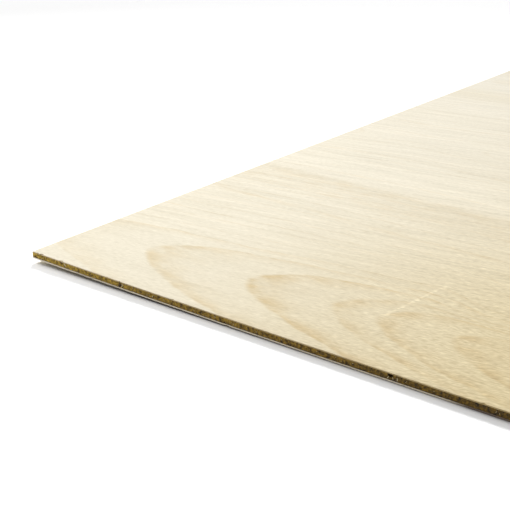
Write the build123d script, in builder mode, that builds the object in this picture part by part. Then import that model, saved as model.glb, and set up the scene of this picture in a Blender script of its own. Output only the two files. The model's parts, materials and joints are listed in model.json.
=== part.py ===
"""Three-ply plywood sheet, lying on a level floor with one end slightly lifted.

The sheet lies in the XY plane with its length along X and its show face up (+Z).
Its origin is on the floor, under the middle of the sheet.
The front long edge is at -Y, and the end that curls up is at -X.
"""

import os
from math import asin, degrees, sqrt

from build123d import *

# Stock size of the sheet
sheet_length = 2440.0
sheet_width = 1220.0

# Thickness of each ply
face_ply = 0.45
core_ply = 2.4
back_ply = 0.75

# How far the left end lifts off the floor, and over what length it curls
curl_lift = 1.85
curl_length = 217.0

# Torn-out hole in the core on the front edge, measured from the left end
void_distance = 191.0
void_width = 1.8
void_height = 1.1
void_depth = 5.0
void_end_share = 0.5
void_below_face = 0.15

# Places worked out from the sizes above
half_length = sheet_length / 2
half_width = sheet_width / 2
core_top = back_ply + core_ply
sheet_thickness = core_top + face_ply
curl_start = curl_length - half_length
curl_radius = (curl_length**2 + curl_lift**2) / (2 * curl_lift)
curl_angle = degrees(asin(curl_length / curl_radius))
void_x = void_distance - half_length


def floor_gap(x):
    """Height of the sheet's underside above the floor at a place along its length."""
    into_curl = max(curl_start - x, 0.0)
    return curl_radius - sqrt(curl_radius**2 - into_curl**2)


def ply_outline(low, high):
    """Outline of one ply seen from the front, between two heights above the underside."""
    with BuildLine() as outline:
        lower_flat = Line((half_length, low), (curl_start, low))
        lower_curl = JernArc(lower_flat @ 1, (-1, 0), curl_radius - low, -curl_angle)
        upper_flat = Line((half_length, high), (curl_start, high))
        upper_curl = JernArc(upper_flat @ 1, (-1, 0), curl_radius - high, -curl_angle)
        Line(lower_flat @ 0, upper_flat @ 0)
        Line(lower_curl @ 1, upper_curl @ 1)
    return outline.line


void_z = floor_gap(void_x) + core_top - void_below_face - void_height / 2

# Back veneer: the thin sheet underneath, its grain along the sheet
with BuildPart() as back_veneer:
    with BuildSketch(Plane.XZ) as back_section:
        add(ply_outline(0.0, back_ply))
        make_face()
    extrude(amount=half_width, both=True)

# Core: the thick cross band, with a torn-out hole close under the face veneer
with BuildPart() as core_veneer:
    with BuildSketch(Plane.XZ) as core_section:
        add(ply_outline(back_ply, core_top))
        make_face()
    extrude(amount=half_width, both=True)
    with BuildSketch(Plane.XZ.offset(half_width)) as void_mouth:
        with Locations((void_x, void_z)):
            Ellipse(void_width / 2, void_height / 2)
    with BuildSketch(Plane.XZ.offset(half_width - void_depth)) as void_end:
        with Locations((void_x, void_z)):
            Ellipse(void_end_share * void_width / 2, void_end_share * void_height / 2)
    loft(mode=Mode.SUBTRACT)

# Face veneer: the show side, its grain along the sheet
with BuildPart() as face_veneer:
    with BuildSketch(Plane.XZ) as face_section:
        add(ply_outline(core_top, sheet_thickness))
        make_face()
    extrude(amount=half_width, both=True)

back_veneer.part.label = "back_veneer"
core_veneer.part.label = "core_veneer"
face_veneer.part.label = "face_veneer"

os.makedirs("parts", exist_ok=True)
export_step(back_veneer.part, "parts/back_veneer.step")
export_step(core_veneer.part, "parts/core_veneer.step")
export_step(face_veneer.part, "parts/face_veneer.step")
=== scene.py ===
"""Looks of the plywood sheet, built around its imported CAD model.

The sheet lies on a paper floor with one corner towards the camera, and curls up a little at that end.
Each of its three plies is rebuilt as a closed mesh that carries the marks of sawing and handling.
Lengths are millimetres, measured from the photographed corner, until a mesh is written in metres.
"""

import json
import logging
import math
import random
from collections.abc import Sequence
from dataclasses import dataclass
from enum import Enum
from functools import cached_property, partial

import bpy
from mathutils import Euler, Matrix, Vector, geometry, noise

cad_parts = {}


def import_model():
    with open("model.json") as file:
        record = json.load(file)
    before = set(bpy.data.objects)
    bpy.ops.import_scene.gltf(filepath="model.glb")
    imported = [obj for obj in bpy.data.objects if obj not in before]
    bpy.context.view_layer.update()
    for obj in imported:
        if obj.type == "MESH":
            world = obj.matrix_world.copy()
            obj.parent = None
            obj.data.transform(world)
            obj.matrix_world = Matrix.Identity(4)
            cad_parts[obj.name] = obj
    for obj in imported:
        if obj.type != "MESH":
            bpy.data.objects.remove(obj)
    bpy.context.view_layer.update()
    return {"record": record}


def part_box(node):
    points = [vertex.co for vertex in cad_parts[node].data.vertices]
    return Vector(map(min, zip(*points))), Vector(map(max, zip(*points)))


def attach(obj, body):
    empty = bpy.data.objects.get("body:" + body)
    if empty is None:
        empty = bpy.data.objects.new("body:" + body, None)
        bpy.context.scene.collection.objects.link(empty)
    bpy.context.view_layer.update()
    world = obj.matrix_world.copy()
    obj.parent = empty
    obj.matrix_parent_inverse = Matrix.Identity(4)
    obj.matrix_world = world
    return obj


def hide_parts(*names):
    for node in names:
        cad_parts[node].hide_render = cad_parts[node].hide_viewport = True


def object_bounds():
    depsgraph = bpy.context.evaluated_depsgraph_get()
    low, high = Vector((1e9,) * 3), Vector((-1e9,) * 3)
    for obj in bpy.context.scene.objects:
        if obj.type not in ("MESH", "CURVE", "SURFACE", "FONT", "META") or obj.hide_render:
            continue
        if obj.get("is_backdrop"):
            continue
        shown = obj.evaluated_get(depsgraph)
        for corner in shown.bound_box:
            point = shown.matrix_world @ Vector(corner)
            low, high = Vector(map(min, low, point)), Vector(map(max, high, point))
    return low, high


MM = 0.001
LOG = logging.getLogger("plywood_sheet")

# From the photographed corner to the frame's origin
TO_MIDDLE = (1220.0, 610.0, 0.0)

Plan = tuple[float, float]
Space = tuple[float, float, float]
Colour = tuple[float, float, float, float]
Tree = bpy.types.NodeTree
Socket = bpy.types.NodeSocket
Value = float | Socket

# Kinds of shader node: a type name, or a type name with its settings
Kind = str | tuple[str, dict[str, str]]
ADD, SUBTRACT, MULTIPLY, DIVIDE, MULTIPLY_ADD, MAXIMUM, MINIMUM, ABSOLUTE, COSINE = (
    ("ShaderNodeMath", {"operation": name})
    for name in "ADD SUBTRACT MULTIPLY DIVIDE MULTIPLY_ADD MAXIMUM MINIMUM ABSOLUTE COSINE".split()
)
VECTOR, NOISE, RAMP = "ShaderNodeVectorMath", "ShaderNodeTexNoise", "ShaderNodeValToRGB"
RANGE, SMOOTH = "ShaderNodeMapRange", ("ShaderNodeMapRange", {"interpolation_type": "SMOOTHSTEP"})
MIX, BLEND = (("ShaderNodeMix", {"data_type": name}) for name in ("FLOAT", "RGBA"))
PRINCIPLED, OUTPUT = "ShaderNodeBsdfPrincipled", "ShaderNodeOutputMaterial"


def linear(hex_colour: str) -> Colour:
    """Turns an sRGB hex colour into the linear colour that a shader takes.

    Args:
        hex_colour: Colour such as "#E8DCC0".

    Returns:
        Linear red, green, blue and alpha.
    """
    channels = [int(hex_colour[i : i + 2], 16) / 255 for i in (1, 3, 5)]
    red, green, blue = (c / 12.92 if c <= 0.04045 else ((c + 0.055) / 1.055) ** 2.4 for c in channels)
    return red, green, blue, 1.0


def add_node(
    tree: Tree,
    kind: Kind,
    *inputs: object,
    named: dict[str, object] | None = None,
    stops: Sequence[tuple[float, Colour]] = (),
    **settings: object,
) -> Socket:
    """Adds a shader node with its settings and links.

    Args:
        tree: Node tree that takes the node.
        kind: Kind of node.
        *inputs: Values or sockets for the node's inputs in order, where None leaves one alone.
        named: Values or sockets for inputs chosen by name.
        stops: Places and colours of the stops of a colour ramp.
        **settings: More settings of the node.

    Returns:
        The node's first output.
    """
    kind, preset = (kind, {}) if isinstance(kind, str) else kind
    node = tree.nodes.new(kind)
    for name, value in (preset | settings).items():
        setattr(node, name, value)
    shown = [socket for socket in node.inputs if socket.enabled]
    given = list(zip(shown, inputs)) + [(node.inputs[name], value) for name, value in (named or {}).items()]
    for socket, value in given:
        if isinstance(value, Socket):
            tree.links.new(value, socket)
        elif value is not None:
            socket.default_value = value
    for index, (place, colour) in enumerate(stops):
        elements = node.color_ramp.elements
        element = elements[index] if index < len(elements) else elements.new(place)
        element.position, element.color = place, colour
    outputs = [socket for socket in node.outputs if socket.enabled]
    return outputs[0] if outputs else None


def new_material(name: str) -> bpy.types.Material:
    """Makes a material with an empty node tree.

    Args:
        name: Its name.

    Returns:
        The material.
    """
    made = bpy.data.materials.new(name)
    made.use_nodes = True
    made.node_tree.nodes.clear()
    return made


def add_corner_place(tree: Tree, shift: float = 0.0) -> Socket:
    """Adds the place of each point on the sheet.

    Args:
        tree: Node tree that takes the nodes.
        shift: What is added along X.

    Returns:
        The place in millimetres from the photographed corner.
    """
    coordinate = add_node(tree, "ShaderNodeTexCoord").node.outputs["Object"]
    corner = (TO_MIDDLE[0] + shift, *TO_MIDDLE[1:])
    return add_node(tree, VECTOR, coordinate, (1 / MM,) * 3, corner, operation="MULTIPLY_ADD")


def finish_wood(
    made: bpy.types.Material, colour: Socket, height: Socket, relief: Plan, finish: dict[str, float]
) -> bpy.types.Material:
    """Gives a wood its shader.

    Args:
        made: The material.
        colour: Its colour.
        height: Pattern of its fine relief.
        relief: Strength of the relief, and its depth in millimetres.
        finish: Values of the shader's other inputs.

    Returns:
        The material.
    """
    tree = made.node_tree
    bumps = {"Strength": relief[0], "Distance": relief[1] * MM, "Height": height}
    looks = {"Base Color": colour, "Normal": add_node(tree, "ShaderNodeBump", named=bumps), "IOR": 1.5}
    add_node(tree, OUTPUT, add_node(tree, PRINCIPLED, named={**looks, **finish}))
    return made


def add_clouds(tree: Tree, place: Socket, size: Sequence[float], detail: float = 1.0) -> Socket:
    """Adds soft noise.

    Args:
        tree: Node tree that takes the nodes.
        place: Place in millimetres.
        size: Size of a cloud along X, Y and Z; without a size along Z, it is the same at every height.
        detail: Number of finer layers.

    Returns:
        The noise, from 0 to 1.
    """
    scale = [1 / side for side in size] + [0.0] * (3 - len(size))
    stretched = add_node(tree, VECTOR, place, scale, operation="MULTIPLY")
    return add_node(tree, NOISE, stretched, 1.0, detail)


def add_swing(tree: Tree, tone: Value, value: Socket, weight: Value) -> Socket:
    """Moves a tone by how far a value is from 0.5.

    Args:
        tree: Node tree that takes the nodes.
        tone: The tone.
        value: A value from 0 to 1.
        weight: How strongly it moves the tone.

    Returns:
        The moved tone.
    """
    centred = add_node(tree, SUBTRACT, value, 0.5)
    return add_node(tree, MULTIPLY_ADD, centred, weight, tone)


def placed(name: str, data: bpy.types.ID) -> bpy.types.Object:
    """Puts a mesh, light or camera into the scene.

    Args:
        name: Name of its object.
        data: The mesh, light or camera.

    Returns:
        Its object.
    """
    made = bpy.data.objects.new(name, data)
    bpy.context.scene.collection.objects.link(made)
    return made


def signed_noise(x: float, y: float, z: float = 0.0) -> float:
    """Smooth noise between about -1 and 1."""
    return noise.noise(Vector((x, y, z)))


def smooth_step(low: float, high: float, value: float) -> float:
    """Smooth rise from 0 at low to 1 at high."""
    share = min(max((value - low) / (high - low), 0.0), 1.0)
    return share * share * (3 - 2 * share)


class Side(Enum):
    """The four sawn edges, in the order in which the outline runs round the sheet."""

    FRONT = "front"
    RIGHT = "right"
    REAR = "rear"
    LEFT = "left"


@dataclass(frozen=True)
class Station:
    """One place on the outline of the sheet.

    Attributes:
        side: The sawn edge that it is on.
        along: Distance along that edge from its end nearest the photographed corner.
        place: Plan place.
        inward: Plan direction into the wood.
    """

    side: Side
    along: float
    place: Plan
    inward: Plan


@dataclass
class Sheet:
    """The whole sheet: its sizes, its outline and how it curls.

    Attributes:
        length: Length along X.
        width: Width along Y.
        thickness: Thickness of the three plies together.
        lift: How far the left end stands off the floor.
        curl_length: Length over which it curls up.
        fine_front: Length of the front edge that the camera sees closely, and its step.
        fine_left: The same for the left edge.
        coarse_step: Step along the rest of the outline.
        cap_spacing: Spacing of the points inside the flat faces.
        corner_reach: Distance from a corner over which the wear of the edges sets in.
    """

    length: float
    width: float
    thickness: float
    lift: float
    curl_length: float = 217.0
    fine_front: Plan = (280.0, 0.3)
    fine_left: Plan = (160.0, 0.6)
    coarse_step: float = 2.0
    cap_spacing: float = 40.0
    corner_reach: float = 1.2

    @classmethod
    def from_frame(cls, record: dict) -> "Sheet":
        """Reads the sheet's sizes from the frame.

        Args:
            record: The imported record.

        Returns:
            The sheet.
        """
        low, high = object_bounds()
        tops = [mount["pos_m"][2] for mount in record["mounts"] if mount["name"] == "show_face"]
        size = (high - low) / MM
        thickness = tops[0] / MM
        return cls(size.x, size.y, thickness, size.z - thickness)

    def graded(self, length: float, fine: Plan) -> list[float]:
        """Places along an edge, close together at its near end.

        Args:
            length: Length of the edge.
            fine: Length of the close stretch, and its step.

        Returns:
            Places from 0, without the far end.
        """
        fine_count = round(fine[0] / fine[1])
        coarse_count = round((length - fine[0]) / self.coarse_step)
        rest = (length - fine[0]) / coarse_count
        near = [fine[0] * i / fine_count for i in range(fine_count)]
        return near + [fine[0] + rest * i for i in range(coarse_count)]

    @cached_property
    def stations(self) -> list[Station]:
        """Lays stations round the outline, from the photographed corner along the front edge first.

        Returns:
            The stations, in order.
        """
        long, wide, plain = self.length, self.width, (0.0, self.coarse_step)
        front, right = self.graded(long, self.fine_front), self.graded(wide, plain)
        rear = self.graded(long, plain)
        left = [0.0] + [wide - s for s in reversed(self.graded(wide, self.fine_left)[1:])]
        made = [Station(Side.FRONT, s, (s, 0.0), (0.0, 1.0)) for s in front]
        made += [Station(Side.RIGHT, s, (long, s), (-1.0, 0.0)) for s in right]
        made += [Station(Side.REAR, long - s, (long - s, wide), (0.0, -1.0)) for s in rear]
        return made + [Station(Side.LEFT, wide - s, (0.0, wide - s), (1.0, 0.0)) for s in left]

    def corner_share(self, station: Station) -> float:
        """How far a station is clear of the sheet's corners, from 0 to 1."""
        edge = self.length if station.side in (Side.FRONT, Side.REAR) else self.width
        return smooth_step(0.0, self.corner_reach, min(station.along, edge - station.along))

    def place(self, x: float, y: float, height: float) -> Vector:
        """Bends a point of the flat sheet up with the curl.

        Args:
            x: Distance from the left end.
            y: Distance from the front edge.
            height: Height above the underside.

        Returns:
            The point in metres, in the frame.
        """
        radius = (self.curl_length**2 + self.lift**2) / (2 * self.lift)
        into_curl = max(self.curl_length - x, 0.0)
        tilt = math.asin(min(into_curl / radius, 1.0))
        gap = radius - radius * math.cos(tilt)
        bent = Vector((x + height * math.sin(tilt), y, gap + height * math.cos(tilt)))
        return (bent - Vector((self.length / 2, self.width / 2, 0.0))) * MM


@dataclass(frozen=True)
class EdgeMark:
    """A chip, tear or hole in the front edge.

    Attributes:
        along: Distance from the left end.
        height: Height of its middle above the underside.
        wide: Half its width.
        tall: Half its height.
        deep: Depth.
        sharp: How steep its walls are, from 1 for a bowl.
    """

    along: float
    height: float
    wide: float
    tall: float
    deep: float
    sharp: float = 1.0

    def depth_at(self, along: float, height: float) -> float:
        """Depth of the mark at a point of the edge."""
        out = ((along - self.along) / self.wide) ** 2 + ((height - self.height) / self.tall) ** 2
        return self.deep * min(max(1 - out, 0.0) * self.sharp, 1.0)


@dataclass(frozen=True)
class Roughness:
    """One layer of the roughness of a sawn edge.

    Attributes:
        depth: How deep it goes.
        along: Size of its lumps along the edge.
        through: Their size through the thickness.
        shift: Offset that keeps it apart from the other layers.
        above: Level that its noise has to pass, so that it shows as scattered pits.
    """

    depth: float
    along: float
    through: float
    shift: float = 0.0
    above: float | None = None

    def depth_at(self, along: float, height: float, seed: float) -> float:
        """Depth of the layer at a point of the edge."""
        level = signed_noise(along / self.along, height / self.through, seed + self.shift)
        return self.depth * (level if self.above is None else max(level - self.above, 0.0))


# Damage that the photograph shows on the front edge, ply by ply
CORE_MARKS = (
    EdgeMark(6.6, 2.9, 1.4, 0.7, 0.5, 2.0),
    EdgeMark(20.6, 2.7, 0.9, 0.8, 0.7, 2.0),
    EdgeMark(58.4, 2.0, 0.5, 1.2, 1.3, 3.0),
    EdgeMark(59.6, 1.9, 0.9, 0.8, 0.5, 2.0),
    EdgeMark(76.8, 2.5, 0.7, 0.6, 0.6, 2.0),
    EdgeMark(78.4, 1.6, 0.6, 0.5, 0.4, 2.0),
    EdgeMark(104.0, 1.2, 1.2, 0.3, 0.3),
    EdgeMark(139.0, 2.6, 0.9, 0.3, 0.35),
    EdgeMark(165.0, 1.5, 1.5, 0.3, 0.3),
    EdgeMark(191.0, 2.45, 0.95, 0.6, 5.0, 6.0),
    EdgeMark(190.2, 1.6, 0.9, 0.5, 0.35),
    EdgeMark(193.6, 1.3, 0.5, 0.9, 0.4, 2.0),
    EdgeMark(214.0, 2.0, 0.8, 0.35, 0.35),
)

FACE_MARKS = (
    EdgeMark(6.8, 3.6, 1.4, 0.5, 0.6, 1.6),
    EdgeMark(20.4, 3.6, 1.1, 0.5, 0.7, 2.0),
    EdgeMark(58.3, 3.4, 0.5, 0.4, 0.35, 2.0),
    EdgeMark(76.8, 3.2, 0.6, 0.25, 0.2),
)

BACK_MARKS = (
    EdgeMark(30.5, 0.1, 1.1, 0.3, 0.3),
    EdgeMark(118.0, 0.1, 1.6, 0.35, 0.35),
)


@dataclass
class Ply:
    """One ply of the sheet, a closed mesh with worn sawn edges.

    Attributes:
        sheet: The sheet that it is part of.
        node: CAD node that it stands for, which also names its piece.
        slot: The record's material slot; not used.
        low: Height of its lower face above the sheet's underside.
        high: Height of its upper face.
        rows: Number of steps through its thickness.
        marks: Damage to its front edge.
        seed: Offset that keeps its wear apart from that of the other plies.
        edge_shift: The same between its four edges.
        corner_inset: How far the sheet's sharp corners stand back.
        crease: Angle over which an edge of the mesh stays sharp, in degrees.
    """

    sheet: Sheet
    node: str
    slot: str
    low: float
    high: float
    rows: int
    marks: tuple[EdgeMark, ...] = ()
    seed: float = 0.0
    edge_shift: float = 7.0
    corner_inset: float = 0.06
    crease: float = 38.0

    def heights(self) -> list[float]:
        """Heights of the rows of points through the ply."""
        return [self.low + (self.high - self.low) * i / self.rows for i in range(self.rows + 1)]

    def edge_seed(self, station: Station) -> float:
        """Seed of the edge that a station is on."""
        return self.seed + self.edge_shift * list(Side).index(station.side)

    def wear(self, station: Station, height: float) -> float:
        """How far the edge is worn back at a point, before its marks.

        Args:
            station: Place on the outline.
            height: Height above the underside.

        Returns:
            Depth into the wood.
        """
        raise NotImplementedError

    def inset(self, station: Station, height: float) -> float:
        """How far the edge stands back from the CAD outline at a point.

        Args:
            station: Place on the outline.
            height: Height above the underside.

        Returns:
            Depth into the wood.
        """
        marks = self.marks if station.side is Side.FRONT else ()
        depth = self.wear(station, height) + sum(mark.depth_at(station.along, height) for mark in marks)
        clear = self.sheet.corner_share(station)
        return self.corner_inset * (1 - clear) + max(depth, 0.0) * clear

    def ring(self, height: float) -> list[Plan]:
        """Wears the outline back.

        Args:
            height: Height above the underside.

        Returns:
            Plan points of the worn outline at that height.
        """
        points = []
        for station in self.sheet.stations:
            depth = self.inset(station, height)
            x = station.place[0] + station.inward[0] * depth
            y = station.place[1] + station.inward[1] * depth
            at_corner = self.sheet.corner_share(station) == 0.0
            margin = depth if at_corner else 0.0
            x = min(max(x, margin), self.sheet.length - margin)
            y = min(max(y, margin), self.sheet.width - margin)
            points.append((x, y))
        return points

    def inner_points(self) -> list[Plan]:
        """Sets out points inside the flat faces, which let them bend with the curl.

        Returns:
            Their plan places.
        """
        long, wide = self.sheet.length, self.sheet.width
        columns, lines = round(long / self.sheet.cap_spacing), round(wide / self.sheet.cap_spacing)
        return [(long * i / columns, wide * j / lines) for i in range(1, columns) for j in range(1, lines)]

    def cap(self, outline: list[Plan]) -> list[tuple[int, ...]]:
        """Fills a flat face with triangles.

        Args:
            outline: Its plan outline.

        Returns:
            Triangles, as indices into the outline followed by the inner points.
        """
        count = len(outline)
        points = [Vector(point) for point in outline + self.inner_points()]
        edges = [(i, (i + 1) % count) for i in range(count)]
        made = geometry.delaunay_2d_cdt(points, edges, [], 1, 1e-6)
        faces, sources = made[2], made[3]
        return [tuple(sources[i][0] for i in face) for face in faces]

    def build(self) -> bpy.types.Object:
        """Builds the ply's mesh and puts it in the place of its CAD node.

        Returns:
            The finished piece, without its finish.
        """
        heights = self.heights()
        rings = [self.ring(height) for height in heights]
        count = len(rings[0])
        inner = self.inner_points()
        points = [self.sheet.place(x, y, height) for ring, height in zip(rings, heights) for x, y in ring]
        lower_inner = len(points)
        points += [self.sheet.place(x, y, heights[0]) for x, y in inner]
        upper_inner = len(points)
        points += [self.sheet.place(x, y, heights[-1]) for x, y in inner]

        faces = []
        for row in range(self.rows):
            for i in range(count):
                j = (i + 1) % count
                faces.append((row * count + i, row * count + j, (row + 1) * count + j, (row + 1) * count + i))
        top_row = self.rows * count
        for face in self.cap(rings[0]):
            lower = [i if i < count else i - count + lower_inner for i in face]
            faces.append(tuple(reversed(lower)))
        for face in self.cap(rings[-1]):
            faces.append(tuple(i + top_row if i < count else i - count + upper_inner for i in face))

        mesh = bpy.data.meshes.new(self.node)
        mesh.from_pydata(points, [], faces)
        levels = [(height - self.low) / (self.high - self.low) for height in heights for _ in range(count)]
        levels += [0.0] * len(inner) + [1.0] * len(inner)
        mesh.attributes.new("ply_level", "FLOAT", "POINT").data.foreach_set("value", levels)
        mesh.set_sharp_from_angle(angle=math.radians(self.crease))
        sawn = [index < self.rows * count for index in range(len(faces))]
        mesh.polygons.foreach_set("use_smooth", sawn)
        mesh.attributes.new("sawn_edge", "FLOAT", "FACE").data.foreach_set("value", [float(s) for s in sawn])
        piece = placed(self.node + "_dressed", mesh)
        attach(piece, "root")
        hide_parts(self.node)
        return piece


@dataclass
class Veneer(Ply):
    """A thin peeled ply: long grain on the long edges, end grain on the short ones.

    Attributes:
        eased_high: Whether the upper arris is the eased one.
        easing: Width of the eased arris.
        mean_wear: Mean depth of the roughness.
        waves: Slow waves that the saw leaves.
        long_fibres: Roughness of the long edges, along the fibres.
        cut_fibres: Roughness of the short edges, across the fibres.
        splinters: Small splinters off the eased arris.
    """

    eased_high: bool = True
    easing: float = 0.09
    mean_wear: float = 0.05
    waves: Roughness = Roughness(0.03, 9.0, 0.6)
    long_fibres: Roughness = Roughness(0.02, 2.0, 0.15, 3.0)
    cut_fibres: Roughness = Roughness(0.05, 0.9, 0.5, 3.0)
    splinters: Roughness = Roughness(1.5, 2.6, 1.0, 11.0, 0.38)

    def heights(self) -> list[float]:
        """Sets out the rows of points, with one row close to the eased arris.

        Returns:
            Their heights.
        """
        share = self.easing / (self.high - self.low)
        shares = [i / (self.rows - 1) * (1 - share) for i in range(self.rows)] + [1.0]
        if not self.eased_high:
            shares = [1 - share for share in reversed(shares)]
        return [self.low + (self.high - self.low) * share for share in shares]

    def wear(self, station: Station, height: float) -> float:
        """Adds up fine saw roughness, a wavy line and small splinters off the eased arris.

        Args:
            station: Place on the outline.
            height: Height above the underside.

        Returns:
            Depth into the wood.
        """
        s, seed = station.along, self.edge_seed(station)
        fibres = self.long_fibres if station.side in (Side.FRONT, Side.REAR) else self.cut_fibres
        depth = self.mean_wear + self.waves.depth_at(s, height, seed) + fibres.depth_at(s, height, seed)
        arris = self.high if self.eased_high else self.low
        near_arris = 1 - min(abs(height - arris) / (self.high - self.low), 1.0)
        depth += self.splinters.depth_at(s, 0.0, seed) * near_arris
        if abs(height - arris) < 1e-6:
            depth += self.easing
        return depth


@dataclass
class Core(Ply):
    """The thick cross band: torn end grain on the long edges, long grain on the short ones.

    Attributes:
        mean_wear: Mean depth of the roughness on the long and on the short edges.
        end_grain: Lumps, waves and pits of the long edges.
        long_grain: Fibres and tears of the short edges.
        check: Slanting fine checks of the long edges: their depth where they are on, and their size.
        check_width: Level of the noise below which a check opens.
        saw_line: Depth, spacing and slant of the saw's lines.
    """

    mean_wear: Plan = (0.12, 0.08)
    end_grain: tuple[Roughness, ...] = (
        Roughness(0.07, 0.7, 0.45),
        Roughness(0.05, 7.0, 2.0, 2.0),
        Roughness(0.9, 1.1, 0.6, 5.0, 0.28),
    )
    long_grain: tuple[Roughness, ...] = (Roughness(0.05, 14.0, 0.22), Roughness(0.5, 6.0, 0.5, 5.0, 0.35))
    check: Roughness = Roughness(6.0, 4.2, 3.0, 9.0)
    check_width: float = 0.045
    check_spread: Roughness = Roughness(1 / 0.35, 6.0, 1.3, 13.0)
    saw_line: tuple[float, float, float] = (0.015, 1.9, 0.7)

    def wear(self, station: Station, height: float) -> float:
        """Adds up rough sawn wood, pits, fine checks and slanting saw lines.

        Args:
            station: Place on the outline.
            height: Height above the underside.

        Returns:
            Depth into the wood.
        """
        s, seed = station.along, self.edge_seed(station)
        long_edge, short_edge = self.mean_wear
        if station.side in (Side.LEFT, Side.RIGHT):
            return short_edge + sum(layer.depth_at(s, height, seed) for layer in self.long_grain)
        rough = sum(layer.depth_at(s, height, seed) for layer in self.end_grain)
        check = max(self.check_width * self.check.depth - abs(self.check.depth_at(s, height, seed)), 0.0)
        spread = smooth_step(0.0, 1.0, self.check_spread.depth_at(s, height, seed))
        deep, spacing, slant = self.saw_line
        saw = deep * math.sin(2 * math.pi * (s + slant * height) / spacing)
        return long_edge + rough + check * spread + saw


@dataclass(frozen=True)
class Splinter:
    """A torn fibre on the front edge.

    Attributes:
        along: Distance of its foot from the left end.
        height: Height of its foot.
        rise: How far its tip is above its foot.
        run: How far its tip is along the edge from its foot.
        thick: Its radius in the middle.
        bow: How far its middle stands out from a straight line, along the edge.
    """

    along: float
    height: float
    rise: float
    run: float
    thick: float
    bow: float = 0.0


# Torn fibres that the photograph shows, most of them in the marks above
HAND_PLACED = (
    Splinter(23.0, 1.0, 2.3, -0.9, 0.24, 0.6),
    Splinter(22.4, 1.6, 1.9, -0.2, 0.15, 0.2),
    Splinter(22.6, 3.3, 0.45, -2.4, 0.14, 0.0),
    Splinter(19.4, 3.2, 0.55, 0.9, 0.12, 0.0),
    Splinter(59.6, 1.0, 1.8, 0.2, 0.24, 0.1),
    Splinter(60.3, 1.9, 0.9, -0.3, 0.14, 0.0),
    Splinter(77.7, 1.2, 1.3, 0.5, 0.18, 0.1),
    Splinter(76.2, 1.9, 0.9, -0.3, 0.13, 0.0),
    Splinter(190.0, 1.1, 0.9, 0.5, 0.17, -0.1),
    Splinter(192.1, 1.2, 0.9, -0.3, 0.16, 0.1),
    Splinter(193.6, 0.8, 1.6, 0.1, 0.19, 0.05),
)


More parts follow.
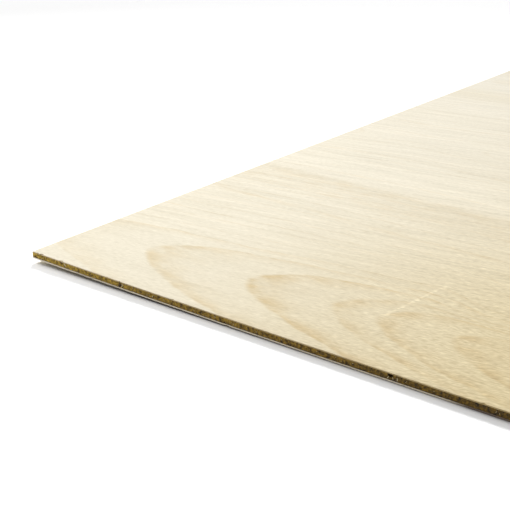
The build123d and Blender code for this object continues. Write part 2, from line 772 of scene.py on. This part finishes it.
@dataclass
class EdgeSplinters:
    """Pale torn fibres that cling to the core along the sawn edges.

    Attributes:
        core: The core that they cling to.
        sides: Number of sides of a splinter.
        steps: Number of rings along a splinter.
        spacing_near: Mean spacing along the stretch that the camera sees closely.
        spacing_far: Mean spacing along the rest of the edges.
        sunk: Share of its radius by which a splinter sinks into the core.
        deepest: How deep in a pit its middle may lie.
        clear: How far it stays inside the sawn edge.
        tip: Share of its radius that a splinter keeps at its tips.
        taper: Where on half a turn of a sine its thickness starts, and how much of it follows.
        seed: Seed of the small splinters' places and sizes.
        upright: Lowest and highest rise, then run, on the long edges, where they stand.
        lying: The same on the short edges, where they lie.
        margins: How far they keep from the core's lower and upper face.
        thickness: Thinnest and thickest radius.
        bows: Lowest and highest bow.
    """

    core: Core
    sides: int = 5
    steps: int = 6
    spacing_near: float = 8.0
    spacing_far: float = 30.0
    sunk: float = 0.3
    deepest: float = 0.3
    clear: float = 0.02
    tip: float = 0.25
    taper: Plan = (0.12, 0.76)
    seed: int = 41
    upright: tuple[Plan, Plan] = ((0.25, 0.9), (-0.4, 0.4))
    lying: tuple[Plan, Plan] = ((-0.2, 0.2), (0.8, 4.0))
    margins: Plan = (0.25, 0.3)
    thickness: Plan = (0.04, 0.08)
    bows: Plan = (-0.15, 0.15)

    def scattered(self) -> list[tuple[Station, Splinter]]:
        """Small splinters all round the sheet, at seeded places.

        Returns:
            Pairs of the nearest station and the splinter.
        """
        chance = random.Random(self.seed)
        sheet, low, high = self.core.sheet, self.core.low + self.margins[0], self.core.high - self.margins[1]
        made = []
        for station, after in zip(sheet.stations, sheet.stations[1:]):
            near = station.side is Side.FRONT and station.along < sheet.fine_front[0]
            spacing = self.spacing_near if near else self.spacing_far
            if chance.random() > math.dist(after.place, station.place) / spacing:
                continue
            if sheet.corner_share(station) < 1.0:
                continue
            rises, runs = self.upright if station.side in (Side.FRONT, Side.REAR) else self.lying
            rise, run = chance.uniform(*rises), chance.uniform(*runs)
            foot = chance.uniform(low, high - max(rise, 0.0))
            thick, bow = chance.uniform(*self.thickness), chance.uniform(*self.bows)
            made.append((station, Splinter(station.along, foot, rise, run, thick, bow)))
        return made

    def hand_placed(self) -> list[tuple[Station, Splinter]]:
        """The splinters that the photograph shows, each with its station."""
        front = [station for station in self.core.sheet.stations if station.side is Side.FRONT]
        return [(min(front, key=lambda station: abs(station.along - s.along)), s) for s in HAND_PLACED]

    def sliver(self, station: Station, splinter: Splinter) -> tuple[list[Vector], list[tuple[int, ...]]]:
        """Shapes one splinter, a thin spindle half sunk in the core.

        Args:
            station: Where it clings.
            splinter: Its sizes.

        Returns:
            Its points in metres and its faces.
        """
        sheet = self.core.sheet
        inward = Vector((*station.inward, 0.0))
        forward = Vector((abs(inward.y), abs(inward.x), 0.0))
        flat = forward if abs(splinter.rise) > abs(splinter.run) else Vector((0, 0, 1))
        foot = Vector((*station.place, splinter.height)) + forward * (splinter.along - station.along)
        points, faces = [], []
        for step in range(self.steps + 1):
            share = step / self.steps
            height = splinter.height + splinter.rise * share
            sunk = self.core.inset(station, height) - self.sunk * splinter.thick
            middle = foot + forward * (splinter.run * share + splinter.bow * math.sin(math.pi * share))
            middle = middle + inward * min(max(sunk, splinter.thick + self.clear), self.deepest)
            middle.z = height
            belly = math.sin(math.pi * (self.taper[0] + self.taper[1] * share))
            thick = splinter.thick * (self.tip + (1 - self.tip) * belly)
            for side in range(self.sides):
                turn = 2 * math.pi * side / self.sides
                point = middle + (flat * math.cos(turn) + inward * math.sin(turn)) * thick
                points.append(sheet.place(point.x, point.y, point.z))
        for step in range(self.steps):
            for side in range(self.sides):
                after = (side + 1) % self.sides
                low, high = step * self.sides, (step + 1) * self.sides
                faces.append((low + side, low + after, high + after, high + side))
        faces.append(tuple(reversed(range(self.sides))))
        faces.append(tuple(self.steps * self.sides + side for side in range(self.sides)))
        return points, faces

    def build(self) -> bpy.types.Object:
        """Builds all the splinters as one piece.

        Returns:
            The piece, without its finish.
        """
        points, faces = [], []
        for station, splinter in self.hand_placed() + self.scattered():
            more_points, more_faces = self.sliver(station, splinter)
            faces += [tuple(i + len(points) for i in face) for face in more_faces]
            points += more_points
        mesh = bpy.data.meshes.new("edge_splinters")
        mesh.from_pydata(points, [], faces)
        mesh.validate()
        mesh.shade_smooth()
        fixed = placed("edge_splinters", mesh)
        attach(fixed, "root")
        return fixed


@dataclass(frozen=True)
class PeeledPoplar:
    """Poplar veneer, peeled from the turning log and sanded.

    The knife follows the growth rings, so the figure is a map of slow contours with arches along the grain.
    Poplar is close-grained and pale, with faint rings, short fine fibres and a soft, dull sheen.

    Attributes:
        ring_shift: How far along the grain the figure is shifted, to tell one veneer from another.
        pale: Darkest and lightest tone of the sapwood.
        straw: Darkest and lightest tone of the heartwood.
        latewood: What the dense late wood of a ring takes from the colour.
        front_edge_in_shade: Colour of the front cut edge, which lies in shade and takes a colour apart from
            the other edges; the back veneer's is a pale painted light.
        hidden_edge: Colour of the three cut edges that the photograph doesn't show.
        shade_and_glue_colour: Colour of the painted contact shade along the lower arris, of the painted shade
            under the front strip of the underside, and of the dark glue line.
        shaded_share: Share of the cut edge, from below, darkened as painted contact shadow; 0 leaves out the
            glue line and all the painted shade.
        contact_shade_from: Distance from the left end beyond which the cut edge takes patchy painted contact
            shade, where the sheet rests on the floor.
        column_width: Width of one turn of the log on the veneer.
        column_reach: How far the arches run out along the grain.
        arch_line: Distance of the arches' tips from the front edge.
        wobble: Sizes of the grain's waves, with their reach at the corner and far from it.
        drift: Sizes of the clouds that bend the far rings, with their reach along the grain.
        ring_span: Stretch across the rings that the corner's own rings fill.
        band_span: Stretch behind the arches that the broad bands fill.
        grain_lean: How the broad streaks lean towards the front edge along the sheet.
        fibre_lean: How the fibres and fine streaks lean, the other way.
        fibre: Length and width of a fibre mark; real fibres are a tenth as wide, too fine to show.
        scratch: Ends of the scratch on the face.
        scratch_fade: Length over which the scratch fades at each end.
        rough: Roughness of the sanded face.
        sheen: Strength and roughness of its soft sheen.
        relief: Strength and depth in millimetres of its fine grain.
    """

    name: str = "sanded_peeled_poplar"
    ring_shift: float = 0.0
    pale: tuple[str, str] = ("#BAB095", "#E6DECA")
    straw: tuple[str, str] = ("#A9966A", "#D8C89B")
    latewood: str = "#E9CB76"
    front_edge_in_shade: str = "#A88C52"
    hidden_edge: str = "#B59E72"
    shade_and_glue_colour: str = "#4A2C1C"
    shaded_share: float = 0.0
    contact_shade_from: float = 206.0
    column_width: float = 560.0
    column_reach: float = 740.0
    arch_line: float = 37.0
    wobble: tuple[tuple[Plan, Plan], ...] = (
        ((260.0, 90.0), (3.0, 28.0)),
        ((50.0, 18.0), (4.0, 6.0)),
        ((14.0, 5.0), (2.4, 2.4)),
        ((5.0, 1.6), (1.6, 1.6)),
    )
    drift: tuple[tuple[Plan, float], ...] = (((800.0, 260.0), 640.0), ((230.0, 100.0), 200.0))
    ring_span: Plan = (-60.0, 240.0)
    band_span: Plan = (80.0, 260.0)
    grain_lean: float = 0.09
    fibre_lean: float = -0.13
    fibre: Plan = (3.2, 0.62)
    scratch: tuple[Plan, Plan] = ((168.0, 36.0), (178.0, 85.0))
    scratch_fade: float = 6.0
    rough: float = 0.5
    sheen: Plan = (0.35, 0.45)
    relief: Plan = (0.25, 0.04)

    def ring_field(self, tree: Tree, x: Socket, y: Socket, plan: Socket, far: Socket) -> Socket:
        """Adds the nodes that give each point its place across the growth rings.

        Args:
            tree: Node tree of the material.
            x: Distance from the left end.
            y: Distance from the front edge, with the wobble of the grain.
            plan: Plan place.
            far: Share by which a point is away from the photographed corner.

        Returns:
            The place across the rings, in millimetres along the grain.
        """
        node = partial(add_node, tree)
        off = node(SUBTRACT, y, self.arch_line)
        # The arches at the right of the corner are narrower behind their tips
        narrow_x = node(SMOOTH, x, 175.0, 215.0, 0.0, 0.5)
        narrow_y = node(SMOOTH, off, 40.0, 90.0, 1.0, 0.0)
        narrowing = node(MULTIPLY_ADD, narrow_x, narrow_y, 1.0)
        behind = node(MAXIMUM, off, 0.0)
        before = node(MINIMUM, off, 0.0)
        off = node(MULTIPLY_ADD, behind, narrowing, before)
        # The arch itself: a wave with a slightly pointed tip, a shoulder and a straight flank behind it
        turn = node(MULTIPLY, off, 2 * math.pi / self.column_width)
        wave = node(COSINE, turn)
        column = node(MULTIPLY_ADD, wave, -self.column_reach, self.column_reach)
        aside = node(ABSOLUTE, off)
        column = node(MULTIPLY_ADD, aside, 0.2, column)
        shoulder = node(RANGE, off, 19.0, 31.0, 0.0, 12.0)
        squared = node(MULTIPLY, shoulder, shoulder)
        column = node(MULTIPLY_ADD, squared, 0.35, column)
        flank = node(RANGE, off, 31.0, 91.0, 0.0, 300.0)
        column = node(ADD, flank, column)
        lean_x = node(SMOOTH, x, 0.0, 500.0, 0.0, 850.0)
        lean_y = node(SMOOTH, y, 80.0, 150.0, 0.0, 1.0)
        column = node(MULTIPLY_ADD, lean_x, lean_y, column)
        rings = node(SUBTRACT, x, column)
        for size, reach in self.drift:
            weight = node(MULTIPLY, far, reach)
            rings = add_swing(tree, rings, add_clouds(tree, plan, size), weight)
        return rings

    def scratched(self, tree: Tree, plan: Socket) -> Socket:
        """Adds the scratch, a ragged line of lifted pale fibres across the arches.

        Args:
            tree: Node tree of the material.
            plan: Plan place.

        Returns:
            What it adds to the tone.
        """
        node = partial(add_node, tree)
        start, end = (Vector((*place, 0.0)) for place in self.scratch)
        half = (end - start).length / 2
        ahead = (end - start) / (2 * half)
        aside = (-ahead.y, ahead.x, 0.0)
        from_start = node(VECTOR, plan, tuple(start), operation="SUBTRACT")
        run = node(VECTOR, from_start, tuple(ahead), operation="DOT_PRODUCT")
        off_line = node(VECTOR, from_start, aside, operation="DOT_PRODUCT")
        ragged = node(NOISE, named={"W": run, "Scale": 0.3, "Detail": 2.0}, noise_dimensions="1D")
        off_line = add_swing(tree, off_line, ragged, 2.0)
        off_line = node(ABSOLUTE, off_line)
        wide = node(RANGE, ragged, 0.35, 0.6, 0.35, 1.1)
        across = node(DIVIDE, off_line, wide)
        across = node(SMOOTH, across, 0.4, 1.1, 1.0, 0.0)
        off_middle = node(SUBTRACT, run, half)
        off_middle = node(ABSOLUTE, off_middle)
        within = node(SMOOTH, off_middle, half - self.scratch_fade, half, 1.0, 0.0)
        patchy = node(RANGE, ragged, 0.4, 0.6, 0.05, 0.42)
        shown = node(MULTIPLY, across, within)
        return node(MULTIPLY, shown, patchy)

    def glue_and_painted_shade(self, tree: Tree, plan: Socket, x: Socket, y: Socket, sawn: Socket) -> Socket:
        """Adds painted contact shade along the lower arris and on the cut edge where the sheet rests, the
        dark glue line, and painted shade under the front strip of the underside.

        Args:
            tree: Node tree of the material.
            plan: Plan place.
            x: Distance from the left end.
            y: Distance from the front edge.
            sawn: 1 on a cut edge and 0 on a flat face.

        Returns:
            The share of painted shade and glue line.
        """
        node = partial(add_node, tree)
        level = node("ShaderNodeAttribute", attribute_name="ply_level").node.outputs["Fac"]
        # Painted contact shadow: the lowest share of the cut edge is darkened
        low = node(RANGE, level, self.shaded_share * 0.7, self.shaded_share * 1.3, 1.0, 0.0)
        # Painted contact shade: patchy darkening of the cut edge, mostly beyond the place where the sheet
        # rests on the floor
        start = self.contact_shade_from + self.ring_shift
        beyond = node(RANGE, x, start, start + 16.0, 0.0, 0.22)
        cloudy_shade = node(ADD, add_clouds(tree, plan, (60.0, 60.0), 2.0), beyond)
        cloudy_shade = node(RANGE, cloudy_shade, 0.56, 0.68, 0.0, 0.85)
        # The dark glue line under the core
        glued = node(RANGE, level, 0.82, 0.95, 0.0, 0.8)
        shade_and_glue = node(MAXIMUM, low, cloudy_shade)
        shade_and_glue = node(MAXIMUM, shade_and_glue, glued)
        shade_and_glue = node(MULTIPLY, shade_and_glue, sawn)
        # Painted shade: the underside is darkened near the front edge, which darkens the floor seen through
        # the gap under the curl
        painted_rim_shade = node(SMOOTH, y, 5.0, 14.0, 1.0, 0.0)
        rim_start = self.ring_shift + 20.0
        reached = node(RANGE, x, rim_start, rim_start + 60.0, 0.0, 1.0)
        under = node(SUBTRACT, 1.0, sawn)
        for share in (reached, under):
            painted_rim_shade = node(MULTIPLY, painted_rim_shade, share)
        return node(MAXIMUM, shade_and_glue, painted_rim_shade)

    def material(self) -> bpy.types.Material:
        """Makes the material.

        Returns:
            The veneer's material.
        """
        made = new_material(self.name)
        tree = made.node_tree
        node = partial(add_node, tree)
        plan = add_corner_place(tree, self.ring_shift)
        parts = node("ShaderNodeSeparateXYZ", plan).node.outputs
        x, y = parts["X"], parts["Y"]
        distance = node(VECTOR, plan, operation="LENGTH")
        far = node(SMOOTH, distance, 280.0, 700.0, 0.0, 1.0)
        wobbled = y
        for size, reaches in self.wobble:
            reach = node(RANGE, far, 0.0, 1.0, *reaches)
            wobbled = add_swing(tree, wobbled, add_clouds(tree, plan, size), reach)
        rings = self.ring_field(tree, x, wobbled, plan, far)

        # Rings that the photograph shows at the corner, by the place of their tips, and fine ones beyond
        in_corner = node(RANGE, rings, *self.ring_span, 0.0, 1.0)
        corner_tone = node(RAMP, in_corner, stops=self.corner_rings())
        corner_share = corner_tone.node.outputs["Alpha"]
        fine = {"W": rings, "Scale": 1 / 30, "Detail": 3.0}
        fine_rings = node(NOISE, named=fine, noise_dimensions="1D")
        dark_line = node(SMOOTH, fine_rings, 0.36, 0.5, 0.36, 0.53)
        ring_tone = node(MIX, corner_share, dark_line, corner_tone)
        ring_depth = node(SUBTRACT, 0.5, ring_tone)
        patches = node(RANGE, add_clouds(tree, plan, (15.0, 7.0), 4.0), 0.38, 0.63, 0.35, 1.3)
        calm_y = node(SMOOTH, wobbled, 70.0, 130.0, 1.0, 0.45)
        calm = node(SMOOTH, distance, 700.0, 1200.0, calm_y, 1.0)
        for share in (patches, calm):
            ring_depth = node(MULTIPLY, ring_depth, share)
        tone = node(MULTIPLY_ADD, ring_depth, -0.35, 0.5)

        # Streaks: broad ones along the grain, fine ones along the fibres, both fainter near the front edge
        grain_line = node(MULTIPLY_ADD, x, self.grain_lean, wobbled)
        fibre_line = node(MULTIPLY_ADD, x, self.fibre_lean, wobbled)
        along_grain = node("ShaderNodeCombineXYZ", x, grain_line, 0.0)
        along_fibres = node("ShaderNodeCombineXYZ", x, fibre_line, 0.0)
        straight = node(SMOOTH, wobbled, 45.0, 90.0, 0.55, 1.0)
        for line, size, weight in (
            (along_grain, (300.0, 10.0), 0.42),
            (along_fibres, (90.0, 3.4), 0.55),
            (along_fibres, (36.0, 1.4), 0.5),
        ):
            share = node(MULTIPLY, straight, weight)
            tone = add_swing(tree, tone, add_clouds(tree, line, size), share)
        band = node(RANGE, grain_line, *self.band_span, 0.0, 1.0)
        band_tone = node(RAMP, band, stops=self.bands())
        tone = add_swing(tree, tone, band_tone, 0.6)
        band_tan = add_swing(tree, 0.0, band_tone, patches)
        band_tan = node(MULTIPLY, band_tan, -1.4, use_clamp=True)

        # Fibres: short fine dashes, which stand out more at the right of the corner
        fibres = add_clouds(tree, along_fibres, self.fibre, 2.0)
        fuzzy_x = node(SMOOTH, x, 90.0, 220.0, 0.92, 1.84)
        fuzzy_y = node(SMOOTH, y, 60.0, 220.0, 1.0, 0.0)
        fuzzy = node(MIX, fuzzy_y, 1.15, fuzzy_x)
        tone = add_swing(tree, tone, fibres, fuzzy)
        # Painted light: the tone is lowered near the photographed corner, where the soft box lights the face
        # more, and raised far from it as a painted sheen of the face seen at grazing angles
        painted_sheen_and_shade = node(RANGE, distance, 0.0, 650.0, -0.15, 0.18)
        for change in (self.scratched(tree, plan), painted_sheen_and_shade):
            tone = node(ADD, tone, change)

        # Heartwood: inside the corner's arches, and in broad clouds along the rest of the sheet
        pale, straw = (
            node(BLEND, tone, linear(dark), linear(light))
            for dark, light in (self.pale, self.straw)
        )
        deep_x = node(SMOOTH, x, 40.0, 260.0, 0.0, 1.0)
        deep_y = node(SMOOTH, y, 60.0, 230.0, 1.0, 0.35)
        corner_heart = node(MULTIPLY, deep_x, deep_y)
        clouds = add_clouds(tree, along_grain, (700.0, 110.0))
        far_heart = node(RANGE, clouds, 0.42, 0.78, 0.0, 0.75)
        heart = node(MIX, far, corner_heart, far_heart)
        colour = node(BLEND, heart, pale, straw)
        tan_share = node(MULTIPLY_ADD, heart, -0.8, 1.7)
        tan = node(MULTIPLY_ADD, ring_depth, tan_share, band_tan, use_clamp=True)
        late = linear(self.latewood)
        colour = node(BLEND, tan, colour, late, blend_type="MULTIPLY")

        sawn = node("ShaderNodeAttribute", attribute_name="sawn_edge").node.outputs["Fac"]
        # The front cut edge, which lies in shade, takes its own colour apart from the three other edges in
        # direct light: on the back veneer a pale painted light
        cut = node(MULTIPLY, sawn, 0.75)
        hidden = node(RANGE, y, 1.0, 3.0, 0.0, 1.0)
        front_edge_in_shade_colour, hidden_edge = linear(self.front_edge_in_shade), linear(self.hidden_edge)
        edge = node(BLEND, hidden, front_edge_in_shade_colour, hidden_edge)
        colour = node(BLEND, cut, colour, edge)
        # Painted contact shade and the dark glue line
        if self.shaded_share:
            shade_and_glue = self.glue_and_painted_shade(tree, plan, x, y, sawn)
            colour = node(BLEND, shade_and_glue, colour, linear(self.shade_and_glue_colour))
        finish = {"Roughness": self.rough, "Sheen Weight": self.sheen[0], "Sheen Roughness": self.sheen[1]}
        return finish_wood(made, colour, fibres, self.relief, finish)

    def corner_rings(self) -> list[tuple[float, Colour]]:
        """Tones of the rings whose arches the photograph shows.

        Each ring begins with a sharp dark line of latewood and clears towards the next.

        Returns:
            Stops over the rings' span, with alpha 0 where other rings take over.
        """
        rings = (
            (-26.0, 0.34, 12.0),
            (44.0, 0.3, 18.0),
            (105.0, 0.2, 17.0),
            (148.0, 0.27, 9.0),
            (169.0, 0.25, 10.0),
            (201.0, 0.2, 11.0),
        )
        low, high = self.ring_span
        stops = [(low, 0.5, 0.0), (low + 10.0, 0.5, 1.0)]
        for place, dark, wide in rings:
            stops += [(place - 4.0, 0.56, 1.0), (place, dark, 1.0), (place + wide, 0.43, 1.0)]
        stops += [(high - 10.0, 0.45, 1.0), (high, 0.45, 0.0)]
        return [((place - low) / (high - low), (tone, tone, tone, alpha)) for place, tone, alpha in stops]

    def bands(self) -> list[tuple[float, Colour]]:
        """Tones of the broad bands of straight grain behind the arches.

        Returns:
            Stops over the bands' span.
        """
        behind = ((80, 0.5), (108, 0.5), (116, 0.62), (124, 0.52), (137, 0.5), (140, 0.36), (143, 0.5))
        further = ((158, 0.49), (172, 0.43), (182, 0.44), (192, 0.38), (203, 0.5), (214, 0.57), (226, 0.6))
        low, high = self.band_span
        places = (*behind, *further, (236, 0.5), (high, 0.5))
        return [((place - low) / (high - low), (tone, tone, tone, 1.0)) for place, tone in places]


@dataclass(frozen=True)
class SawnHardwoodCore:
    """Dark tropical hardwood, a thick peeled cross band cut by a saw.

    On the long edges the saw has torn its end grain, which looks mottled, with dark pores and pale flecks.
    On the short edges its fibres run along the edge.

    Attributes:
        painted_light_front_tones: Dark and light tone of the wood at places along the front edge: brighter
            than the hidden edges' colours, as painted light for the shade that the front edge lies in, and
            lighter towards the corner, partly the wood's own change and partly painted light.
        hidden_tones: Plainer dark and light tone of the three edges that the photograph doesn't show.
        mottle: Sizes of the torn end grain's flecks, in X, Y and Z, with their strength.
        pore: Spacing of the pores in X, Y and Z.
        long_grain: Size and strength of the fine lines along the short edges.
        rough: Roughness of the sawn wood.
        relief: Strength and depth in millimetres of its fine relief.
    """

    name: str = "sawn_hardwood_core"
    painted_light_front_tones: tuple[tuple[float, str, str], ...] = (
        (0.0, "#5C4404", "#D4B03C"),
        (110.0, "#453203", "#AE8A2E"),
        (230.0, "#281B02", "#7D5F14"),
    )
    hidden_tones: tuple[str, str] = ("#4C3B26", "#8C7250")
    mottle: tuple[tuple[Space, float], ...] = (
        ((6.0, 90.0, 1.8), 0.8),
        ((1.3, 30.0, 1.9), 2.7),
        ((0.7, 12.0, 0.6), 1.6),
    )
    pore: Space = (0.9, 14.0, 0.8)
    long_grain: tuple[Space, float] = ((30.0, 26.0, 0.32), 1.1)
    rough: float = 0.8
    relief: Plan = (0.5, 0.1)

    def material(self) -> bpy.types.Material:
        """Makes the material.

        Returns:
            The core's material.
        """
        made = new_material(self.name)
        tree = made.node_tree
        node = partial(add_node, tree)
        place = add_corner_place(tree)
        parts = node("ShaderNodeSeparateXYZ", place).node.outputs
        normal = node("ShaderNodeNewGeometry").node.outputs["True Normal"]
        sideways = node("ShaderNodeSeparateXYZ", normal).node.outputs["X"]
        sideways = node(ABSOLUTE, sideways)
        short_edge = node(RANGE, sideways, 0.6, 0.8, 0.0, 1.0)
        behind = node(RANGE, parts["Y"], 1.0, 2.0, 0.0, 1.0)
        hidden = node(MAXIMUM, behind, short_edge)

        # Long edges: mottled end grain with dark pores, calmer where it is hidden, on the edges in direct
        # light; the shaded front edge keeps the stronger mottle
        torn = 0.0
        for size, weight in self.mottle:
            torn = add_swing(tree, torn, add_clouds(tree, place, size, 2.0), weight)
        pores_at = node(VECTOR, place, self.pore, operation="DIVIDE")
        cells = node("ShaderNodeTexVoronoi", pores_at, 1.0)
        pores = node(SMOOTH, cells, 0.08, 0.26, -0.3, 0.0)
        torn = node(ADD, torn, pores)
        calm = node(RANGE, hidden, 0.0, 1.0, 1.0, 0.55)
        torn = node(MULTIPLY, torn, calm)

        # Short edges: fine lines along the edge. A dark glue line runs along both faces of the ply
        size, weight = self.long_grain
        lines = add_swing(tree, 0.0, add_clouds(tree, place, size, 2.0), weight)
        tone = node(MIX, short_edge, torn, lines)
        tone = node(ADD, tone, 0.5)
        level = node("ShaderNodeAttribute", attribute_name="ply_level").node.outputs["Fac"]
        off_middle = node(SUBTRACT, level, 0.5)
        off_middle = node(ABSOLUTE, off_middle)
        glue = node(SMOOTH, off_middle, 0.44, 0.5, 0.0, -0.35)
        tone = node(ADD, tone, glue, use_clamp=True)

        # The front edge takes a brighter colour than the other edges, painted light for the shade it lies in,
        # and lighter still towards the corner, partly painted light
        reach = self.painted_light_front_tones[-1][0]
        along = node(DIVIDE, parts["X"], reach)
        dark, light = (
            node(RAMP, along, stops=[(row[0] / reach, linear(row[column])) for row in self.painted_light_front_tones])
            for column in (1, 2)
        )
        colour = node(BLEND, tone, dark, light)
        dark, light = (linear(hex_colour) for hex_colour in self.hidden_tones)
        plain = node(BLEND, tone, dark, light)
        colour = node(BLEND, hidden, colour, plain)
        return finish_wood(made, colour, tone, self.relief, {"Roughness": self.rough})


@dataclass(frozen=True)
class TornFibre:
    """Torn wood fibre: dry, fluffy and paler than the sawn wood round it."""

    name: str = "torn_wood_fibre"
    colour: str = "#E2D1A2"
    rough: float = 0.85

    def material(self) -> bpy.types.Material:
        """Makes the material.

        Returns:
            The fibre's material.
        """
        made = new_material(self.name)
        looks = {"Base Color": linear(self.colour), "Roughness": self.rough}
        shader = add_node(made.node_tree, PRINCIPLED, named=looks)
        add_node(made.node_tree, OUTPUT, shader)
        return made


@dataclass(frozen=True)
class MattPaper:
    """White background paper: matt, so the sheet shows no reflection in it."""

    name: str = "matt_white_paper"
    colour: str = "#FEFEFE"

    def material(self) -> bpy.types.Material:
        """Makes the material.

        Returns:
            The paper's material.
        """
        made = new_material(self.name)
        shader = add_node(made.node_tree, "ShaderNodeBsdfDiffuse", linear(self.colour), 0.0)
        add_node(made.node_tree, OUTPUT, shader)
        return made


@dataclass
class Studio:
    """Paper floor, soft lights and the camera.

    Attributes:
        sheet: The sheet that they are set round.
        floor_reach: Half the side of the floor, in metres.
        floor_drop: How far the floor lies under the sheet.
        lens: Focal length of the camera.
        sensor: Width of its sensor.
        camera_place: Its place from the photographed corner's underside, were that corner on the floor.
        pitch: How far it looks down, in degrees.
        yaw: How far it is turned left from looking along +Y, in degrees.
        key_light: Strength of the key light, and its breadth in degrees.
        key_from: Direction that it comes from.
        box_light: Power in watts and width in metres of the soft box.
        box_place: Its place from the photographed corner.
        box_aim: What it is aimed at.
        room: Brightness of the white room on the camera's side, and behind the sheet and overhead.
        room_to: Direction of the room's bright side.
        wall: What the lit wall behind the sheet adds.
        wall_to: Direction of that wall.
    """

    sheet: Sheet
    floor_reach: float = 30.0
    floor_drop: float = 0.15
    lens: float = 55.05
    sensor: float = 36.0
    camera_place: Space = (291.2, -222.2, 145.1)
    pitch: float = 22.02
    yaw: float = 35.55
    key_light: Plan = (3.3, 13.0)
    key_from: Space = (-0.7, 1.02, 0.8)
    box_light: Plan = (7.6, 0.55)
    box_place: Space = (-700.0, 60.0, 620.0)
    box_aim: Space = (30.0, 20.0, 0.0)
    room: Plan = (0.09, 0.6)
    room_to: Space = (-0.5, 0.5, 0.7)
    wall: float = 0.8
    wall_to: Space = (-0.55, 0.83, 0.1)

    def from_corner(self, place: Space) -> Vector:
        """Turns millimetres from the photographed corner into metres in the frame."""
        return (Vector(place) - Vector((self.sheet.length / 2, self.sheet.width / 2, 0.0))) * MM

    def lay_floor(self) -> None:
        """Lays the paper floor."""
        reach, drop = self.floor_reach, -self.floor_drop * MM
        mesh = bpy.data.meshes.new("paper_floor")
        corners = [(-reach, -reach, drop), (reach, -reach, drop), (reach, reach, drop), (-reach, reach, drop)]
        mesh.from_pydata(corners, [], [(0, 1, 2, 3)])
        mesh.materials.append(MattPaper().material())
        floor = placed("paper_floor", mesh)
        floor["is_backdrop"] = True

    def hang_lights(self) -> None:
        """Hangs the key light behind the sheet and the soft box over its corner."""
        key = bpy.data.lights.new("key", "SUN")
        key.energy, key.angle = self.key_light[0], math.radians(self.key_light[1])
        sun = placed("key", key)
        sun.rotation_euler = Vector(self.key_from).to_track_quat("Z", "Y").to_euler()
        sun.visible_glossy = sun.visible_camera = False
        box = bpy.data.lights.new("corner_box", "AREA")
        box.shape, box.energy, box.size = "DISK", *self.box_light
        lamp = placed("corner_box", box)
        lamp.location = self.from_corner(self.box_place)
        aim = self.from_corner(self.box_aim) - lamp.location
        lamp.rotation_euler = aim.to_track_quat("-Z", "Y").to_euler()
        lamp.visible_camera = False

    def paint_room(self) -> None:
        """Makes the room: a fill from its bright side and a lit wall, plain white to the camera."""
        world = bpy.data.worlds.new("white_room")
        world.use_nodes = True
        tree = world.node_tree
        tree.nodes.clear()
        node = partial(add_node, tree)
        way = node("ShaderNodeTexCoord")
        bright, wall = (
            node(VECTOR, way, tuple(Vector(side).normalized()), operation="DOT_PRODUCT")
            for side in (self.room_to, self.wall_to)
        )
        bright = node(RANGE, bright, -0.1, 0.95, *self.room)
        wall = node(RANGE, wall, 0.8, 0.98, 0.0, self.wall)
        white = node(ADD, bright, wall)
        seen = node("ShaderNodeLightPath").node.outputs["Is Camera Ray"]
        white = node(MIX, seen, white, 1.0)
        sky = node("ShaderNodeBackground", (1.0, 1.0, 1.0, 1.0), white)
        node("ShaderNodeOutputWorld", sky)
        bpy.context.scene.world = world

    def set_camera(self) -> None:
        """Sets up the camera where the photograph was taken from."""
        camera = bpy.data.cameras.new("camera")
        camera.lens, camera.sensor_width = self.lens, self.sensor
        camera.clip_start, camera.clip_end = 0.01, 200.0
        stand = placed("camera", camera)
        stand.location = self.from_corner(self.camera_place)
        stand.rotation_euler = Euler((math.radians(90 - self.pitch), 0.0, math.radians(self.yaw)), "XYZ")
        bpy.context.scene.camera = stand

    def build(self) -> None:
        """Sets up the studio."""
        self.lay_floor()
        self.hang_lights()
        self.paint_room()
        self.set_camera()
        bpy.context.scene.view_settings.view_transform = "Standard"


def main() -> None:
    """Builds the sheet's pieces in order, then the studio."""
    logging.basicConfig(level=logging.INFO, format="%(message)s")
    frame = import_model()
    sheet = Sheet.from_frame(frame["record"])
    core_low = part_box("core_veneer")[0].z / MM
    core_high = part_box("face_veneer")[0].z / MM
    top = sheet.thickness
    back = Veneer(sheet, "back_veneer", "back_wood", 0.0, core_low, rows=5, marks=BACK_MARKS, seed=51.0)
    back.eased_high = False
    core = Core(sheet, "core_veneer", "core_wood", core_low, core_high, rows=12, marks=CORE_MARKS, seed=2.0)
    face = Veneer(sheet, "face_veneer", "face_wood", core_high, top, rows=5, marks=FACE_MARKS, seed=83.0)
    dressed = (
        # The back veneer takes painted contact shade along its lower arris
        # The back veneer's front cut edge is painted pale, as painted light against its shade
        (back, PeeledPoplar(name="peeled_poplar_back", ring_shift=5200.0, front_edge_in_shade="#F9ECD0", shaded_share=0.16)),
        (core, SawnHardwoodCore()),
        (face, PeeledPoplar()),
        (EdgeSplinters(core), TornFibre()),
    )
    for part, finish in dressed:
        piece = part.build()
        piece.data.materials.append(finish.material())
        LOG.info("%s: %d faces, finish %s", piece.name, len(piece.data.polygons), finish.name)
    Studio(sheet).build()


if __name__ == "__main__":
    main()
